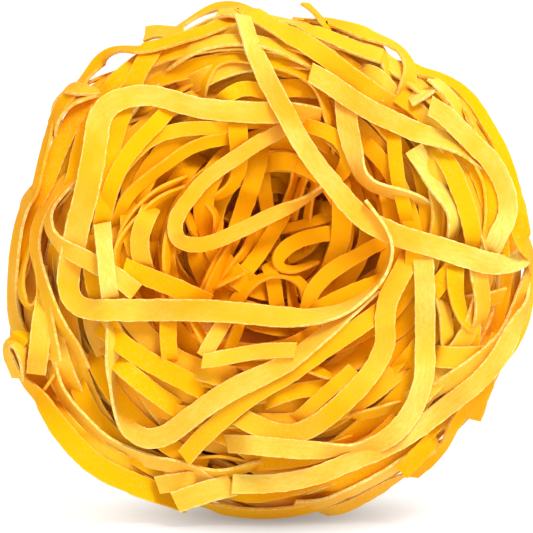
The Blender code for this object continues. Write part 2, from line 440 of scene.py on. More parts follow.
def lay_on_skin(heap, theta, psi, width, wanted, roll, facing=0.0, eased=EASED_LIFT, most=MOST_LIFT):
    """Lays a ribbon along a path of the skin, on what lies there already, and records it."""
    count = len(theta)
    normals, along, down = skin_frame(theta, psi)
    base = skin(theta, psi)
    tangents = unit(np.gradient(base, axis=0))
    outward = unit(normals * (1 - facing) + np.array([0.0, -1.0, 0.0]) * facing)
    outward = unit(outward - tangents * (outward * tangents).sum(axis=1, keepdims=True))
    side = np.cross(tangents, normals)
    # Places under the ribbon, in the skin's own angles.
    theta_step = (side * unit(along)).sum(axis=1) / np.maximum(np.linalg.norm(along, axis=1), 1.0)
    psi_step = (side * unit(down)).sum(axis=1) / np.maximum(np.linalg.norm(down, axis=1), 1.0)
    support = np.full(count, NOTHING)
    for share in SIDE_STEPS:
        offset = share * width / 2 * np.cos(roll)
        places = skin_places(theta + theta_step * offset, psi + psi_step * offset)
        support = np.maximum(support, skin_map.read(*places))
    lift = limited(settle(wanted, support + half_extent(roll), SKIN_EASE), eased, most)
    rows = np.arange(count) / WOUND_DIVE_STEPS
    lift = lift - WOUND_DIVE * (np.exp(-(rows**2)) + np.exp(-(rows[::-1] ** 2)))
    points = base + normals * lift[:, None]
    points[:, 2] = np.maximum(points[:, 2], LOWEST_LINE)
    turned = outward * np.cos(roll)[:, None] + np.cross(tangents, outward) * np.sin(roll)[:, None]
    heap.add(points, turned, width, cup=DRAW.uniform(*WOUND_CUPS), roughness=WOUND_ROUGHNESS)
    for share in SKIN_SIDES:
        reach = share * width / 2
        offset = reach * np.cos(roll)
        rise = lift + PRESS * RIBBON_THICKNESS / 2 * np.cos(roll) + np.abs(reach * np.sin(roll)) * EDGE_RISE
        for shift in SKIN_SHIFTS:
            theta_at = theta + theta_step * offset + shift * np.gradient(theta)
            psi_at = psi + psi_step * offset + shift * np.gradient(psi)
            skin_map.raise_to(*skin_places(theta_at, psi_at), rise)
    if psi.mean() < SEEN_PSI:
        record_on_front(points, turned, np.cross(tangents, turned), width)


def wound_ribbon(heap, middle, spread, wanted_lift, most_roll):
    width = RIBBON_WIDTH * DRAW.uniform(*WOUND_WIDTHS)
    middle, spread = math.radians(middle), math.radians(spread)
    radius = OUTLINE_RADIUS * math.sin(middle) ** SQUARENESS
    span = min(DRAW.uniform(*WOUND_LENGTHS) / radius, WOUND_TURN)
    count = max(FEWEST_STEPS, int(span * radius / WOUND_STEP))
    start = DRAW.uniform(0, 2 * math.pi)
    turn = DRAW.choice([-1, 1])
    theta = start + turn * np.linspace(0.0, span, count)
    phases = DRAW.uniform(0, 2 * math.pi, 4)
    psi = middle + spread * (
        DRAW.uniform(-0.7, 0.7)
        + DRAW.uniform(0.4, 1.0) * np.cos(theta + phases[0])
        + DRAW.uniform(0.1, 0.4) * np.cos(2.3 * theta + phases[1])
    )
    psi = np.clip(psi, *PSI_LIMITS)
    facing = FACING_SHARE * np.clip((FACING_PSI - psi) / FACING_FADE, 0.0, 1.0)[:, None]
    roll = np.radians(most_roll) * DRAW.uniform(0.3, 1.0) * np.sin(1.7 * theta + phases[2])
    wanted = wanted_lift + 0.5 * np.cos(2.9 * theta + phases[3])
    lay_on_skin(heap, theta, psi, width, wanted, roll, facing)


# Ribbons that cross the back: how many, the lifts that the lowest and the highest are laid for, and the lifts
# from which they are eased and to which they go at most. How many steps they have, by how much they curve in
# radians, how far off the middle they lie in millimetres, and their most roll and shares of the usual width.
BACK_ARCS = 30
BACK_LIFTS = (-4.4, -1.2)
BACK_EASED_LIFT = 0.0
BACK_MOST_LIFT = 1.2
BACK_STEPS = (40, 75)
BACK_CURVE = 2.2
BACK_OFFSETS = [10, 20]
BACK_ROLL = math.radians(38)
BACK_WIDTHS = (0.88, 1.05)
# The share of the outline's radius that they keep to.
BACK_REACH = 0.97


def back_arc(heap, wanted_lift):
    count = int(DRAW.uniform(*BACK_STEPS))
    run = np.linspace(-0.5, 0.5, count)
    phases = DRAW.uniform(0, 2 * math.pi, 3)
    heading = phases[0] + DRAW.uniform(-BACK_CURVE, BACK_CURVE) * run + 0.35 * np.sin(7.0 * run + phases[1])
    flat = np.cumsum(np.stack([np.cos(heading), np.sin(heading)], axis=1), axis=0) * WOUND_STEP
    flat = flat - flat.mean(axis=0)
    beside = np.array([-math.sin(phases[0]), math.cos(phases[0])])
    flat = flat + DRAW.choice(BACK_OFFSETS) * DRAW.uniform(-1, 1) * beside
    ring = BACK_REACH * np.tanh(np.hypot(flat[:, 0], flat[:, 1]) / OUTLINE_RADIUS)
    theta = np.unwrap(np.arctan2(flat[:, 1], flat[:, 0]))
    psi = math.pi - np.arcsin(np.maximum(ring, 0.03) ** (1 / SQUARENESS))
    roll = BACK_ROLL * DRAW.uniform(0.2, 1.0) * np.sin(6.0 * run + phases[2])
    wanted = wanted_lift + 0.6 * np.sin(9.0 * run + phases[1])
    width = RIBBON_WIDTH * DRAW.uniform(*BACK_WIDTHS)
    lay_on_skin(heap, theta, psi, width, wanted, roll, eased=BACK_EASED_LIFT, most=BACK_MOST_LIFT)


# Ribbons of the face, lowest first. Each has its name, the share of the hollow's depth that it sags by, its
# marks, and after the colon its route: pixels of the picture, and the width in pixels that it shows there. A
# point with two numbers keeps the last width. The marks: over_start and over_end carry the ribbon on over
# the rim there. free_start and free_end leave that end cut off in plain sight, where the others dip under
# what lies beside them. Pale ones have a paler tone and more flour, both partly a painted highlight on
# these top ribbons; a low one rests as deep as the filling, and the last part of a late one lies over all.
FACE_RIBBONS = """
# Behind a gap at the lower left.
fill_low_left 0 low: 60,405,21 76,428 96,448 120,464 144,476
# Deep in the hollow.
deep_1 1.1: 302,150,10 292,185 285,205 281,222 279,248
deep_2 1.05: 311,155,10 302,185 296,205 292,222 287,246
deep_3 0.95: 322,160,10 313,190 309,208 306,232 303,250
deep_4 1.1: 262,165,14 266,200 272,235 280,262
deep_5 1: 225,215,12 250,228 280,230 315,222 340,212
deep_broad 0.9: 262,135,19 257,165,19 250,190,18 242,213 232,240,15 220,262 209,285 198,308
diag_p 0.8: 240,232,11 228,252 217,272 206,296 200,310
diag_q 0.85: 268,212,12 256,234 243,254 230,272,11 216,290
diag_r 1: 285,212,15 272,234 260,253 247,270 236,284
arch_in_1 1.05: 268,262,15 274,285 278,315
arch_in_2 1: 288,262,11 291,288 294,316
short_deep 0.8: 258,222,10 250,240 243,255 230,270
centre_vertical 0.75: 341,180,18 342,200,20 342,220 341,238 336,254,18 326,270,14 314,284,11
arch 0.75: 230,312,14 240,296,13 254,282,9 270,275,8 285,275 298,280,10 306,291,12 307,306,13 305,322
centre_hook 0.7: 345,231,15 325,234 305,238,15 290,245,16 279,255,14 277,265,10 286,270,8 301,268 318,261,7
light_strand 0.8: 210,289,8 228,279 248,270
arc_right 0.55: 305,326,13 307,308,14 312,292,16 325,276 342,264 360,254,14 380,243 398,234
arc_right_2 0.5: 306,320,10 318,308,14 335,299 352,291 372,284 388,278
small_arc_1 0.8: 200,198,7 213,208 217,222 213,238
small_arc_2 0.8: 188,203,9 188,218 193,230 199,242
mid_v1 0.5: 170,225,9 166,255 168,285
lens 0.5: 262,403,16 283,395 300,390 320,388 340,382
arc_low 0.5: 296,362,11 318,372 338,378
low_a 0.5: 190,315,9 204,340 212,360
low_c 0.5: 243,318,13 233,340 226,360
# Round the hollow.
v_leaf 0.55: 237,105,19 238,130 239,150 239,168,17 235,181,14 226,192,12 214,198,8 200,201,7
arc_ul_1 0.25: 105,225,14 107,212 112,190 122,168 140,148 160,135 185,129 215,128 240,130
arc_ul_2 0.4: 110,235,13 125,200 145,180 165,165 190,148 215,140 240,138
ul_broad 0.2: 130,92,18 122,115 115,135 110,160 106,190 102,220 98,245
ul_2 0.2: 176,100,16 160,120 145,135 128,155 115,178 108,200 104,220
top_in_1 0.1: 165,68,12 195,48 215,42 238,40 262,42 285,50 305,60 325,72
top_in_2 0.2: 214,112,15 220,102 235,91 250,88 270,94 286,104
top_in_3 0.2: 198,112,11 202,95 205,80 212,66 225,58 245,58 268,63 290,68 308,78 318,88 325,105 332,132
    336,150
curl_right 0.35: 290,120,12 308,126,14 325,131 340,140,16 348,152 347,166 338,178,12 330,183
upright_b 0.2: 393,118,14 394,140 395,155 399,185 405,210 411,236
arc_left_1 0.35: 186,178,8 165,187 150,197 135,213 122,233 114,256
arc_left_2 0.45: 186,188,8 160,199 140,217 125,234 117,250 117,268 126,283 140,297
white_edged 0.35: 152,205,19 140,235 141,255 148,280
slant_a 0.25: 100,325,20 130,350 155,365 180,378 208,392
slant_b 0.15: 112,358,18 140,382 160,397 184,413
short_upright 0.35: 168,308,17 168,340 170,366
stub_low 0.2 free_end: 288,416,9 296,420,13 312,406,14 330,390 345,377 355,368
low_arcs 0: 180,466,10 215,474 240,470 268,461
low_right 0.1: 345,418,11 378,411 404,402
# Left side.
left_broad 0 over_start over_end: 92,96,18 78,112 68,130 60,148 53,165 47,180 38,200 31,222 25,248 22,275
top_left_a 0: 146,58,18 133,67 117,81 105,96 95,113 86,132 80,155 75,178 66,204
left_mid 0: 92,98,12 86,112 82,130 81,150 77,172 68,190 56,206
rim_left_1 0 over_start over_end: 72,94,9 58,112 50,130 46,148 42,163 39,178 34,198
rim_left_2 0: 34,190,11 24,210 19,228 15,252,12 13,280 13,305 16,322,15 24,342,17 34,358
tear_loop 0: 50,202,9 38,222,10 27,250 21,276,9 23,297,9 32,308,9 40,300,9 40,280 37,258 38,236
lower_left_0 0 over_start: 24,345,18 31,368,20 43,392 57,414 74,434 94,452
lower_left_2 0 over_start: 41,398,15 50,413,19 64,433,21 82,453,22 104,470 128,481 150,490 168,496 186,502
lower_left_1 0: 48,345,10 53,365,10 58,384 67,401,12 82,418,14 102,438 127,452 155,462 185,468 212,481
thin_low_left 0: 58,368,5 52,378 45,388 42,393
stub_left_low 0 free_end pale: 46,300,20 42,320 40,340 38,360 36,375
stub_left 0 free_end pale: 42,270,15 44,290 47,315 51,340 55,361
left_curl_back 0: 26,332,17 15,344,18 12,357,18 17,373,16
left_curl 0 free_end: 25,376,13 24,361,14 22,349,15 16,341,16 8,344,13 8,354,10 13,366,12 19,379,13
left_stubbed 0 free_end: 74,172,12 66,182 55,193 46,207 38,225 35,245 38,262 43,280 48,298,14 55,315 65,332
    75,347 84,368
mid_band 0.2 free_start: 123,265,12 130,270,19 148,277 165,284 183,291 208,303
# Lower left and bottom.
bottom_left 0 free_start: 156,485,18 175,482 200,479
bottom_dark 0 over_start over_end: 205,505,12 225,510 250,513 275,513 300,510 325,504
bottom_stub 0 free_start free_end pale: 174,503,22 200,494 234,485
bottom_right_2 0 over_end: 320,512,13 345,507 370,494 394,480
bottom_right_1 0 over_end free_start pale: 293,504,10 320,503 345,494 368,483 388,472 408,458
# Right side.
right_outer 0 over_start over_end: 530,250,11 530,275 529,295 524,320 513,345 498,365
rim_right 0 over_start over_end: 410,68,13 440,78 458,88 473,103 485,122 497,142 505,162,15 511,182,16
    516,204,18 520,226,19 523,248,18
right_yellow 0: 434,138,18 440,150 452,170 460,190 468,212 473,235 476,256
right_thin 0: 466,148,6 483,178 487,200 487,220 482,246
right_cross 0: 420,308,18 436,288 452,268 465,250
right_double 0: 434,290,10 442,305,13 446,322,14 447,350,14
right_u_left 0: 456,256,17 455,275,17 456,295,16 460,311,15 467,324,13 474,331,12
right_end 0 free_end: 470,300,15 482,300,17 494,298,15 505,294,12
right_u_right 0 pale: 476,252,18 478,270,18 481,288,18 483,304,17 481,318,15 475,330,14
level_right 0: 428,355,22 455,358 488,356
flap_right 0: 503,335,22 492,358 484,380 477,400 470,419
lower_right_outer 0 over_start: 462,408,14 448,438 436,453 424,465 410,477
lower_right_stub 0 free_end: 436,434,18 418,455 400,473
right_long 0 over_start pale: 527,280,16 524,290 512,322 497,345 478,362 455,378 424,397
# Top.
top_right_back 0: 300,24,12 330,27,14 352,30 372,42,12 384,58 391,80 396,100
top_right_2 0: 352,72,16 370,74,20 384,86 395,102
top_right_outer 0: 312,20,9 332,23,13 352,29,15 370,36,13 386,42,9 399,50,9 409,63,14 409,79,18 401,94,12
    395,105,7
top_right_end 0 free_start: 383,57,15 360,50 340,42 320,34 296,24
crumple 0 free_start pale: 408,101,15 420,95,14 434,88,11
top_block 0 free_start pale: 431,79,8 441,87,11 451,99,13 459,113,11 466,126,8
thin_top_right 0: 456,96,6 466,108 474,124 480,142 490,160
top_stub 0 free_start: 304,3,9 312,10 320,18 330,30
top_arch 0: 160,43,6 168,36 180,27 195,17,6 210,9,9 225,6,14 240,8,17 255,15 275,27 300,40,19 320,53 340,68
    360,83 380,97 398,108
stub_216 0 free_start: 216,14,10 232,13 247,14
top_left_end 0 free_start: 144,35,17 156,32 170,33 186,34
top_left_b 0: 156,46,18 150,54 145,62 137,75 131,92 126,104
outer_arch 0: 50,130,12 58,112,14 67,98 77,88,15 87,77,15 97,65,14 108,54,12 122,50,11 140,49 160,45,12
    180,39 200,33 220,26 238,20
top_left_band 0 over_start pale: 69,90,12 80,90 92,91 102,90
loop_top_left 0: 98,95,7 80,99 68,106 60,115 55,126 55,140
# Over the others.
diagonal_low 0.15 free_start: 183,459,18 200,440 220,422 242,403 265,388 290,374 312,358 335,342 356,328
    374,316 388,303
lower_sweep 0.1: 412,250,20 408,262 397,282 387,303 385,322 385,345 375,367 358,388 340,405 320,422 298,433
    275,433 255,425 232,413
bottom_long 0 over_end free_start pale: 231,484,19 260,484 290,481 320,474 350,462 380,450 408,435 432,418
    455,400 478,382 497,360 512,335
stub_mid 0.05 free_start pale: 413,147,20 422,163,16 430,178 440,192 450,205 455,220 450,245
right_sweep 0 free_start pale: 429,105,19 445,115 460,130 475,145 490,160 502,180 508,200 508,215 500,232
    488,256
hook 0.4 pale: 292,116,15 282,130 262,140 240,155 222,167 205,180 192,195 182,208 175,222 175,235 182,243
    195,245 210,243 230,235 250,226 270,216 290,207,12 305,200,8 330,183,7
swing 0.05 pale: 113,312,16 113,345 111,365,12 112,385,8 115,405,8 123,423,14 137,435,20 152,439,21 170,433
    190,418 212,402 235,388 258,377 280,367,19 298,356,17 315,342,15 331,329,14 348,314,12 362,302,12
    374,292
fold_a 0.15 free_end pale: 228,316,15 214,338 203,358
fold_b 0.05 free_start free_end pale: 201,361,14 212,360,15 232,356 255,352 278,350 297,350
upright 0 pale: 423,240,20 425,300 425,345 424,375 417,400 407,418 394,434 376,444,17 353,449,10 335,450,14
    312,450,18 290,449,19 260,446 226,443
crown_band 0 free_end pale late: 322,118,19 300,113 268,113,21 230,111 200,108,20 178,102 160,97 145,95,21
    125,98 110,104,23 100,118 96,140,25 92,165 86,195 78,225,24 72,255 68,280,22 72,300,20 86,309 110,310,22
    140,310 175,310 210,311 240,313,21 270,316 300,318,19 325,315,17 345,309,13 360,300,9 375,288,6 386,272
    391,256 391,244 386,230 377,217 369,206 364,200
upright_a 0.2 pale: 344,84,20 345,100,21 347,120 350,138 355,155,18 360,172,15 370,184,13 388,191 410,197
    434,209
shoulder_sweep 0 free_start pale: 309,72,20 330,84 350,98 372,111 395,122 415,131 440,140,16 460,150,9
    482,168,6
left_cross 0 free_end: 78,176,9 64,190 52,206,8 48,220,9 52,234,12 62,246,16 78,255,18 95,264 112,274
    126,284 137,293
end_stub_left 0 free_start pale: 102,222,17 104,245 107,275 111,304
diagonal 0 over_end free_start pale: 242,14,16 250,40,17 260,64,18 272,88,19 284,110 297,135 313,160
    329,180,19 345,200,20 357,213 370,223,21 400,236,22 440,248 480,261 504,265,20 523,262,14
"""
# Where the last part of a late ribbon starts, as a share of its length.
LATE_SHARE = 0.50
# Distances from the picture's middle between which ribbons get their full width, as they lean over the rim.
RIM_PIXELS = (165, 215)
# How many steps and millimetres an end dips, and how sharply.
DIVE_STEPS = 9
DIVE_DEPTH = 2.6
DIVE_POWER = 1.5
# The share of its width from which a ribbon counts as flat, the least share that it has anywhere, and how
# much wider than the broadest place of its route it is.
FLAT_SHARE = 0.97
NARROWED = 0.84
WIDENED = 1.03
# Pixels in a step, and the steps over which the route, the width and the heights are eased.
FACE_STEP = 3.5
ROUTE_EASE = 1.4
WIDTH_EASE = 2.0
FACE_EASE = 2.2
# Ribbons waver, by this roll and rise, over these pixels for each radian.
WAVER_ROLL = math.radians(9)
WAVER_RISE = 0.3
WAVER_PIXELS = 40.0
# How far under the full face the traced ribbons and the filling lie where nothing carries them.
FACE_REST = 1.8
FILL_REST = 6.2
# How far to each side the face's slope is read, the steps over which points are eased, and the least share of
# its width that a ribbon on edge rests on.
SLOPE = 0.5
POINT_EASE = 0.8
LEAST_REACH = 0.15
CUPS = (-0.05, 0.20)
# Tones of pale ones, partly painted highlight, and of the others before their painted shade by sag.
PALE_TONES = (0.7, 0.95)
TONES = (0.2, 0.75)


def read_ribbons(lines):
    """Sag, marks and route of each ribbon. An indented line carries the one above it on."""
    ribbons = []
    for line in lines.strip().replace("\n    ", " ").splitlines():
        if line.startswith("#"):
            continue
        head, places = line.split(":")
        _, sag, *marks = head.split()
        route = []
        width = 0.0
        for place in places.split():
            across, down, *shown = (float(number) for number in place.split(","))
            width = shown[0] if shown else width
            route.append((across, down, width))
        ribbons.append((float(sag), marks, route))
    return ribbons


def smooth_through(points, step):
    """A Catmull-Rom curve through the points, read every step of its first two columns."""
    padded = np.vstack([2 * points[0] - points[1], points, 2 * points[-1] - points[-2]])
    fine = np.linspace(0.0, len(points) - 1.0, 40 * len(points))
    first = np.minimum(fine.astype(int), len(points) - 2)
    t = (fine - first)[:, None]
    a, b, c, d = (padded[first + k] for k in range(4))
    curve = 0.5 * (2 * b + (c - a) * t + (2 * a - 5 * b + 4 * c - d) * t**2 + (3 * b - a - 3 * c + d) * t**3)
    run = np.concatenate([[0.0], np.cumsum(np.linalg.norm(np.diff(curve[:, :2], axis=0), axis=1))])
    places = np.linspace(0.0, run[-1], max(8, int(run[-1] / step)))
    return np.stack([np.interp(places, run, column) for column in curve.T], axis=1)


def roll_for(shown, width):
    """Roll that makes a ribbon of this width show the given widths, in millimetres."""
    diagonal = np.hypot(width, RIBBON_THICKNESS)
    roll = np.arctan2(RIBBON_THICKNESS, width) + np.arccos(np.clip(shown / diagonal, 0.0, 1.0))
    return np.where(shown > FLAT_SHARE * width, 0.0, np.minimum(roll, math.pi / 2))


class FaceRibbon:
    """A ribbon of the face, from its route in the picture to its points on the heap."""

    def __init__(self, sag, marks, route):
        path = smooth_through(np.array(route, float), FACE_STEP)
        eased = blur(path, ROUTE_EASE)
        eased[0], eased[-1] = path[0], path[-1]
        self.marks = marks
        # Pale ones get a high tone, partly a painted highlight; other tones drop with sag, as painted shade.
        self.tone = DRAW.uniform(*PALE_TONES) if "pale" in marks else DRAW.uniform(*TONES) * (1 - sag / 2)
        self.across_px, self.down_px, shown = eased.T
        count = len(shown)
        self.late_from = int(LATE_SHARE * count) if "late" in marks else None
        # A ribbon of the rim shows less than its width, as it leans over there.
        out = np.hypot(self.across_px - PICTURE_MIDDLE, self.down_px - PICTURE_MIDDLE).mean()
        rim = float(np.clip((out - RIM_PIXELS[0]) / (RIM_PIXELS[1] - RIM_PIXELS[0]), 0.0, 1.0))
        seen = WIDENED * shown.max() * PIXEL
        self.width = float(np.clip(seen + rim * max(RIBBON_WIDTH - seen, 0.0), NARROWEST, BROADEST))
        self.cup = DRAW.uniform(*CUPS)
        self.scale = blur(np.clip(shown * PIXEL / self.width, NARROWED, 1.0), WIDTH_EASE)
        self.roll = blur(roll_for(shown * PIXEL, self.width * self.scale), WIDTH_EASE)
        run = np.arange(count) * FACE_STEP / WAVER_PIXELS
        phases = DRAW.uniform(0, 2 * math.pi, 3)
        self.waver = WAVER_ROLL * np.cos(self.roll) ** 2 * (
            np.sin(run + phases[0]) + 0.6 * np.sin(2.3 * run + phases[1])
        )
        reach = min(DIVE_STEPS, count // 4)
        steps = np.arange(count)
        self.dive = np.zeros(count)
        for end, apart in (("start", steps), ("end", steps[::-1])):
            if f"over_{end}" not in marks and f"free_{end}" not in marks:
                self.dive += DIVE_DEPTH * np.clip(1 - apart / reach, 0, 1) ** DIVE_POWER
        flat = from_picture(self.across_px, self.down_px, np.full(count, HALF_DEPTH / 2))
        x, z = flat[:, 0], flat[:, 2] - CENTRE_HEIGHT
        rest = FILL_REST if "low" in marks else FACE_REST
        rise = WAVER_RISE * np.sin(1.3 * run + phases[2])
        self.wanted = face_height(x, z) - rest - sag * hollow_depth(x, z) + rise
        step = unit(np.stack([np.gradient(self.across_px), np.gradient(self.down_px)], axis=1))
        self.side_px = np.stack([-step[:, 1], step[:, 0]], axis=1)
        self.heights = None
        self.sign = None

    def support(self):
        found = np.full(len(self.roll), NOTHING)
        reach = self.width / PIXEL / 2 * np.maximum(np.cos(self.roll), LEAST_REACH)
        for share in SIDE_STEPS:
            across = self.across_px + self.side_px[:, 0] * reach * share
            down = self.down_px + self.side_px[:, 1] * reach * share
            found = np.maximum(found, front_map.read(*front_places(across, down)))
        return found + half_extent(self.roll)

    def lay(self):
        self.heights = settle(self.wanted, self.support(), FACE_EASE) - self.dive

    def lay_late(self):
        support = self.support()
        support[: self.late_from] = NOTHING
        self.heights = settle(self.heights, support, FACE_EASE)

    def place(self):
        """Centre points and normals from the pixels, the heights and the roll."""
        points = from_picture(self.across_px, self.down_px, self.heights)
        points = blur(points, POINT_EASE)
        points[:, 2] = np.maximum(points[:, 2], LOWEST_LINE)
        tangents = unit(np.gradient(points, axis=0))
        view = unit(CAMERA_PLACE - points)
        side = unit(np.cross(tangents, view))
        x, z = points[:, 0], points[:, 2] - CENTRE_HEIGHT
        lean_x = -(hollowed_height(x + SLOPE, z) - hollowed_height(x - SLOPE, z)) / (2 * SLOPE)
        lean_z = -(hollowed_height(x, z + SLOPE) - hollowed_height(x, z - SLOPE)) / (2 * SLOPE)
        lean = (side[:, 0] * lean_x + side[:, 2] * lean_z) * np.sin(self.roll)
        if self.sign is None:
            self.sign = 1.0 if lean.sum() >= 0 else -1.0
        roll = self.sign * self.roll + self.waver
        normals = view * np.cos(roll)[:, None] + side * np.sin(roll)[:, None]
        return points, blur(normals, 1.0)

    def record(self):
        """Raises the front map under the ribbon, up to its late part if it has one."""
        points, normals = self.place()
        across = unit(np.cross(unit(np.gradient(points, axis=0)), normals))
        part = slice(self.late_from)
        record_on_front(points[part], normals[part], across[part], self.width)

    def finish(self, heap):
        points, normals = self.place()
        scale = self.scale
        if "over_end" in self.marks:
            points, normals = wrap_over(points, normals)
        scale = np.pad(scale, (0, len(points) - len(scale)), mode="edge")
        if "over_start" in self.marks:
            points, normals = wrap_over(points[::-1], normals[::-1])
            scale = np.pad(scale[::-1], (0, len(points) - len(scale)), mode="edge")
        heap.add(points, normals, self.width, cup=self.cup, tone=self.tone, scale=scale)


def skin_angles(point):
    """The skin's two angles for a point near it."""
    x, z = point[0], point[2] - CENTRE_HEIGHT
    theta = math.atan2(z, x)
    ring = np.hypot(x, z) / float(outline_radius(np.array(theta)))
    depth = -point[1] / HALF_DEPTH
    power = 1.0 / SQUARENESS
    psi = math.atan2(abs(ring) ** power, math.copysign(abs(depth) ** power, depth))
    return theta, psi


# A ribbon that goes on over the rim: how many steps it goes, the angle in degrees that it makes for, over how
# many steps, and its least turn in a step. The lifts that it starts to rest from and ends at.
OVER_STEPS = (30, 55)
OVER_GOALS = (100, 122)
OVER_EASE = 16.0
LEAST_TURN = 0.006
OVER_SUPPORT = -3.0
OVER_LIFT = -1.0
# Steps over which its lifts are eased, join on, and sink to the usual most one. The steps before the rim over
# which it is eased, and over how many its points and its normals are.
OVER_LIFT_EASE = 2.5
OVER_JOIN = 5.0
OVER_SINK = 8.0
OVER_BLEND = 14
OVER_POINT_EASE = 2.5
OVER_NORMAL_EASE = 4.0


def wrap_over(points, normals):
    """Carries a ribbon on past its last point, over the rim and down the side."""
    theta, psi = skin_angles(points[-1])
    theta_before, psi_before = skin_angles(points[-5])
    centre = np.array([0, 0, CENTRE_HEIGHT])
    lift = np.linalg.norm(points[-1] - centre) - np.linalg.norm(skin(np.array(theta), np.array(psi)) - centre)
    turn = math.remainder(theta - theta_before, 2 * math.pi) / 4
    count = int(DRAW.uniform(*OVER_STEPS))
    steps = np.arange(1, count + 1)
    goal = math.radians(DRAW.uniform(*OVER_GOALS))
    ease = 1.0 - np.exp(-steps / OVER_EASE)
    psi_path = psi + (max(goal, psi) - psi) * ease
    rate = math.copysign(max(abs(turn), LEAST_TURN), turn)
    theta_path = theta + rate * steps
    base = skin(theta_path, psi_path)
    out, _, _ = skin_frame(theta_path, psi_path)
    places = skin_places(theta_path, psi_path)
    support = np.maximum(skin_map.read(*places), OVER_SUPPORT) + RIBBON_THICKNESS / 2
    lifts = settle(np.linspace(lift, OVER_LIFT, count), support, OVER_LIFT_EASE)
    lifts = lifts + (lift - lifts[0]) * np.exp(-steps / OVER_JOIN)
    lifts = np.minimum(lifts, MOST_LIFT + (max(lift, MOST_LIFT) - MOST_LIFT) * np.exp(-steps / OVER_SINK))
    more = base + out * lifts[:, None]
    skin_map.raise_to(*places, lifts + RIBBON_THICKNESS / 2)
    more[:, 2] = np.maximum(more[:, 2], LOWEST_LINE)
    kept = len(points)
    points = np.vstack([points, more])
    normals = np.vstack([normals, out])
    eased_points, eased_normals = blur(points, OVER_POINT_EASE), blur(normals, OVER_NORMAL_EASE)
    weight = np.clip((np.arange(len(points)) - kept + OVER_BLEND) / OVER_BLEND, 0.0, 1.0)[:, None]
    return points * (1 - weight) + eased_points * weight, normals * (1 - weight) + eased_normals * weight


# Ribbons that fill the face under the routes above: arcs round a point between the hollow's middle and the
# nest's own, with their radius in pixels, and how many lie in each ring. Then their lengths and widths in
# pixels, how many points their routes have, and how much of their radius they drift by and are off by. Last,
# what is added to a radius where a length becomes an angle, and how far they sag and up to which radius.
FILL_RINGS = [(40, 4), (64, 6), (90, 7), (118, 8), (147, 9), (176, 10), (205, 11), (230, 10)]
FILL_MIDDLES = ((280, 212), (266, 262))
FILL_OUTER_RADIUS = 233.0
FILL_LENGTHS = (120, 280)
FILL_WIDTHS = (13, 22.5)
FILL_POINTS = 7
FILL_DRIFT = 0.25
FILL_OFF = 0.08
FILL_MORE_RADIUS = 20
FILL_SAG = 1.2
FILL_SAG_RADIUS = 170


def fill_arcs():
    arcs = []
    for radius, count in FILL_RINGS:
        for index in range(count):
            around = 2 * math.pi * (index + DRAW.uniform(0, 1)) / count
            span = DRAW.uniform(*FILL_LENGTHS) / (radius + FILL_MORE_RADIUS)
            drift = DRAW.uniform(-FILL_DRIFT, FILL_DRIFT)
            at = np.linspace(-span / 2, span / 2, FILL_POINTS)
            reach = radius * (1 + drift * at + DRAW.uniform(-FILL_OFF, FILL_OFF))
            reach = np.minimum(reach, FILL_OUTER_RADIUS)
            share = (reach / FILL_OUTER_RADIUS)[:, None]
            middle = np.array(FILL_MIDDLES[0]) * (1 - share) + np.array(FILL_MIDDLES[1]) * share
            places = middle + reach[:, None] * np.stack([np.cos(around + at), -np.sin(around + at)], axis=1)
            widths = DRAW.uniform(*FILL_WIDTHS, 3)
            widths = np.interp(np.arange(FILL_POINTS), np.arange(3) * (FILL_POINTS // 2), widths)
            sag = float(np.clip(FILL_SAG - radius / FILL_SAG_RADIUS, 0.0, 1.0))
            arcs.append((sag, ["low"], np.column_stack([places, widths])))
    order = DRAW.permutation(len(arcs))
    return [arcs[k] for k in order]


# The core, so far under the skin, with its rings and the spokes of each.
CORE_LIFT = -6.2
CORE_RINGS = 64
CORE_SPOKES = 120
CORE_LOWEST = 0.3


def core_point(ring, spoke):
    """Index of a point of the core, whose first and last rings are one point each."""
    inner = 1 + (ring - 1) * CORE_SPOKES
    if ring == 0:
        return 0
    return inner if ring == CORE_RINGS - 1 else inner + spoke % CORE_SPOKES


def make_core(material):
    around = np.arange(CORE_SPOKES) * 2 * math.pi / CORE_SPOKES
    psi, theta = np.meshgrid(np.linspace(0.0, math.pi, CORE_RINGS), around, indexing="ij")
    psi, theta = psi.ravel(), theta.ravel()
    out, _, _ = skin_frame(theta, psi)
    ridges = 0.35 * np.sin(psi * 60 + 2 * np.sin(theta * 2)) + 0.2 * np.sin(theta * 7)
    points = skin(theta, psi) + out * (CORE_LIFT + ridges)[:, None]
    points[:, 2] = np.maximum(points[:, 2], CORE_LOWEST)
    points = points.reshape(CORE_RINGS, CORE_SPOKES, 3)
    flat = np.vstack([points[0].mean(axis=0), points[1:-1].reshape(-1, 3), points[-1].mean(axis=0)])
    faces = []
    for ring in range(CORE_RINGS - 1):
        for spoke in range(CORE_SPOKES):
            corners = [(ring, spoke), (ring + 1, spoke), (ring + 1, spoke + 1), (ring, spoke + 1)]
            faces.append(list(dict.fromkeys(core_point(*corner) for corner in corners)))
    mesh = bpy.data.meshes.new("nest_core")
    mesh.from_pydata((flat * MM).tolist(), [], faces)
    mesh.shade_smooth()
    mesh.materials.append(material)
    core = bpy.data.objects.new("nest_core", mesh)
    bpy.context.scene.collection.objects.link(core)
    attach(core, "root")
    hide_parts("pasta_nest")


# Materials.
# The amber colour also serves as painted shade, the pale one and flour as painted highlight.
EGG_AMBER_AND_SHADE = (0.96, 0.36, 0.0003)
EGG_LIGHT = (0.925, 0.48, 0.001)
EGG_PALE_AND_LIT = (0.905, 0.715, 0.16)
FLOUR_AND_HIGHLIGHT = (0.96, 0.87, 0.36)
# The core's colours, darker than the pasta's, are painted shade of the layers under the skin.
CORE_SHADE_DARK = (0.57, 0.204, 0.0006)
CORE_SHADE = (0.95, 0.34, 0.001)


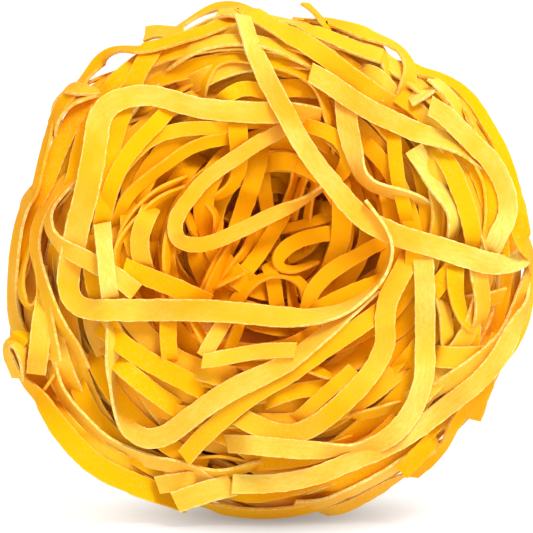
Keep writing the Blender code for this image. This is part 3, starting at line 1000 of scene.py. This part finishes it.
class Nodes:
    """Adds nodes to a tree. What an input gets is a number, a colour or another node's output."""

    def __init__(self, tree):
        self.tree = tree

    def feed(self, node, inputs):
        for key, value in inputs.items():
            if isinstance(value, bpy.types.NodeSocket):
                self.tree.links.new(value, node.inputs[key])
            else:
                node.inputs[key].default_value = (*value, 1.0) if isinstance(value, tuple) else value
        return node

    def add(self, kind, inputs=None, **settings):
        made = self.tree.nodes.new(kind)
        for key, value in settings.items():
            setattr(made, key, value)
        return self.feed(made, inputs or {})

    def attribute(self, name):
        return self.add("ShaderNodeAttribute", attribute_name=name).outputs["Fac"]

    def coordinates(self, kind):
        return self.add("ShaderNodeTexCoord").outputs[kind]

    def noise(self, vector, scale, detail=3.0, rough=0.55):
        inputs = {"Vector": vector, "Scale": scale, "Detail": detail, "Roughness": rough}
        return self.add("ShaderNodeTexNoise", inputs).outputs["Fac"]

    def remap(self, value, low, high, to_low=0.0, to_high=1.0, **settings):
        inputs = {"Value": value, "From Min": low, "From Max": high, "To Min": to_low, "To Max": to_high}
        return self.add("ShaderNodeMapRange", inputs, **settings).outputs["Result"]

    def maths(self, operation, *values):
        return self.add("ShaderNodeMath", dict(enumerate(values)), operation=operation).outputs["Value"]

    def times(self, first, *others):
        for other in others:
            first = self.maths("MULTIPLY", first, other)
        return first

    def mix(self, amount, first, second):
        inputs = {"Factor": amount, "A": first, "B": second}
        return self.add("ShaderNodeMix", inputs, data_type="RGBA").outputs["Result"]


def new_material(name):
    material = bpy.data.materials.new(name)
    material.use_nodes = True
    return material, material.node_tree.nodes["Principled BSDF"], Nodes(material.node_tree)


def pasta_material():
    material, shader, tree = new_material("egg_pasta")
    place = tree.coordinates("Object")
    across, along, tone, inside = (tree.attribute(name) for name in ATTRIBUTES)
    along_strip = {"X": tree.times(along, 0.35), "Y": tree.times(across, 1.6), "Z": tree.times(tone, 60.0)}
    strip = tree.add("ShaderNodeCombineXYZ", along_strip).outputs["Vector"]
    broad = tree.noise(place, 90.0, 2.0)
    grain = tree.noise(place, 2200.0, 4.0, 0.7)
    scuff = tree.noise(strip, 2.2, 5.0, 0.65)
    speck = tree.remap(tree.noise(place, 1500.0, 3.0, 0.75), 0.36, 0.60)
    # Paler between the marks of drying, deeper in random patches, and painted shade deep inside, as in the
    # hollow.
    # The pale tone on the top ribbons is also a painted highlight.
    pale = tree.times(
        tree.remap(tone, 0.45, 1.0),
        tree.remap(broad, 0.3, 0.65, 0.2, 1.2),
        tree.remap(scuff, 0.34, 0.66, 0.55, 1.25),
    )
    body = tree.mix(pale, EGG_LIGHT, EGG_PALE_AND_LIT)
    body = tree.mix(tree.remap(tree.noise(place, 55.0, 2.0), 0.45, 0.66, 0.0, 0.7), body, EGG_AMBER_AND_SHADE)
    # Painted shade: deeper orange the further inside the nest a point lies.
    body = tree.mix(tree.times(inside, 0.7), body, EGG_AMBER_AND_SHADE)
    # Flour on the open faces, and more of it along the edges, which also paints a highlight and sheen.
    # Less flour and painted sheen deep inside, where shade falls.
    unshaded_share = tree.maths("SUBTRACT", 1.0, tree.times(inside, 0.85))
    dust_and_sheen = tree.times(tree.remap(broad, 0.42, 0.68, 0.15, 1.0), unshaded_share)
    face_flour_and_sheen = tree.times(tree.remap(grain, 0.50, 0.72), dust_and_sheen, 0.18)
    edge = tree.remap(tree.maths("ABSOLUTE", across), 0.84, 0.97)
    # Less painted highlight on edges deep inside and on darker-toned ribbons, where shade falls.
    edge_highlight_share = tree.times(tree.remap(inside, 0.0, 1.0, 0.8, 0.3), tree.remap(tone, 0.3, 0.8, 0.25, 1.0))
    flour_and_highlight = tree.maths("MAXIMUM", face_flour_and_sheen, tree.times(edge, speck, edge_highlight_share))
    relief = tree.maths("ADD", grain, tree.times(scuff, 1.2))
    bump = tree.add("ShaderNodeBump", {"Strength": 0.35, "Distance": 0.00012, "Height": relief})
    tree.feed(shader, {
        "Base Color": tree.mix(flour_and_highlight, body, FLOUR_AND_HIGHLIGHT),
        "Roughness": tree.remap(scuff, 0.3, 0.75, 0.55, 0.75),
        "Specular IOR Level": 0.04,
        "Normal": bump.outputs["Normal"],
    })
    return material


def core_material():
    material, shader, tree = new_material("egg_pasta_core")
    # Painted shade: the core's dark orange stands for the shade in the gaps down to it.
    texture = tree.add("ShaderNodeTexNoise", {"Scale": 160.0})
    ramp = tree.add("ShaderNodeValToRGB", {"Fac": texture.outputs["Fac"]})
    for element, colour in zip(ramp.color_ramp.elements, (CORE_SHADE_DARK, CORE_SHADE)):
        element.color = (*colour, 1.0)
    tree.feed(shader, {"Base Color": ramp.outputs["Color"], "Roughness": 0.7})
    return material


# Floor, lights and camera. The floor's own light grows from near the nest outward, between two distances.
# The studio is white all round at eye level, and dimmer and warmer overhead.
# Its dimness near the nest is a painted shadow, its glow painted light.
FLOOR_SIZE = 8.0
FLOOR_COLOUR = (0.28, 0.28, 0.28)
FLOOR_GLOW = (0.26, 0.90)
FLOOR_SHADOW_REACH = (0.003, 0.030)
WHITE = (1.0, 1.0, 1.0)
WORLD_STRENGTH = 0.58
WORLD_TINT = (1.0, 0.89, 0.62)
WALL_STRENGTH = 1.05
WALL_TOP = (0.10, 0.35)
# Name, place in metres, size and power.
LIGHTS = [
    ("key", (0.26, -0.46, 0.60), 0.28, 4.3),
    ("top", (0.05, -0.02, 0.80), 0.50, 1.4),
]


def make_floor():
    material, shader, tree = new_material("floor")
    distance = tree.add("ShaderNodeVectorMath", {0: tree.coordinates("Object")}, operation="LENGTH")
    # Painted shadow: the floor's glow is dimmer near the nest.
    glow = tree.remap(distance.outputs["Value"], *FLOOR_SHADOW_REACH, *FLOOR_GLOW, interpolation_type="SMOOTHSTEP")
    tree.feed(shader, {
        "Base Color": FLOOR_COLOUR,
        "Roughness": 0.9,
        "Specular IOR Level": 0.1,
        "Emission Color": WHITE,
        "Emission Strength": glow,
    })
    bpy.ops.mesh.primitive_plane_add(size=FLOOR_SIZE, location=(0, 0, 0))
    floor = bpy.context.object
    floor.name = "floor"
    floor.data.materials.append(material)


def make_studio():
    world = bpy.data.worlds.new("studio")
    bpy.context.scene.world = world
    world.use_nodes = True
    tree = Nodes(world.node_tree)
    up = tree.add("ShaderNodeSeparateXYZ", {"Vector": tree.coordinates("Generated")}).outputs["Z"]
    fade = tree.remap(up, *WALL_TOP, WALL_STRENGTH, WORLD_STRENGTH, interpolation_type="SMOOTHSTEP")
    background = world.node_tree.nodes["Background"]
    tree.feed(background, {"Strength": fade, "Color": tree.mix(up, WHITE, WORLD_TINT)})
    for name, place, size, power in LIGHTS:
        data = bpy.data.lights.new(name, "AREA")
        data.shape = "DISK"
        data.size = size
        data.energy = power
        light = bpy.data.objects.new(name, data)
        light.location = place
        light.rotation_mode = "QUATERNION"
        light.rotation_quaternion = Vector(CAMERA_TARGET * MM - np.array(place)).to_track_quat("-Z", "Y")
        bpy.context.scene.collection.objects.link(light)


def make_camera():
    data = bpy.data.cameras.new("camera")
    data.sensor_width = 36.0
    data.lens = PIXELS_PER_SLOPE * data.sensor_width / PICTURE_SIZE
    data.clip_start = 0.01
    data.clip_end = 20.0
    camera = bpy.data.objects.new("camera", data)
    camera.location = CAMERA_PLACE * MM
    camera.rotation_euler = (math.pi / 2 - CAMERA_ELEVATION, 0.0, 0.0)
    bpy.context.scene.collection.objects.link(camera)
    bpy.context.scene.camera = camera
    bpy.context.scene.view_settings.view_transform = "Standard"


PIECES = ("wound_inner", "wound_front", "wound_rim", "wound_back", "face_filling", "face_ribbons")


def main():
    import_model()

    heaps = {name: RibbonHeap(name) for name in PIECES}
    # The lower layers of all belts come first.
    jobs = []
    for belt, piece, count, middle, spread, low, high, roll in BELTS:
        for index in range(count):
            share = index / max(count - 1, 1)
            jobs.append((round(share, 1), belt, piece, middle, spread, low + (high - low) * share, roll))
    for _, _, piece, middle, spread, lift, roll in sorted(jobs, key=lambda job: job[:2]):
        wound_ribbon(heaps[piece], middle, spread, lift, roll)
    for wanted_lift in np.linspace(*BACK_LIFTS, BACK_ARCS):
        back_arc(heaps["wound_back"], wanted_lift)

    filling = [FaceRibbon(*spec) for spec in fill_arcs()]
    traced = [FaceRibbon(*spec) for spec in read_ribbons(FACE_RIBBONS)]
    for ribbon in filling + traced:
        ribbon.lay()
        ribbon.record()
    for ribbon in traced:
        if ribbon.late_from:
            ribbon.lay_late()
    for piece, ribbons in (("face_filling", filling), ("face_ribbons", traced)):
        for ribbon in ribbons:
            ribbon.finish(heaps[piece])

    pasta = pasta_material()
    for heap in heaps.values():
        heap.build(pasta)
    make_core(core_material())
    make_floor()
    make_studio()
    make_camera()


main()
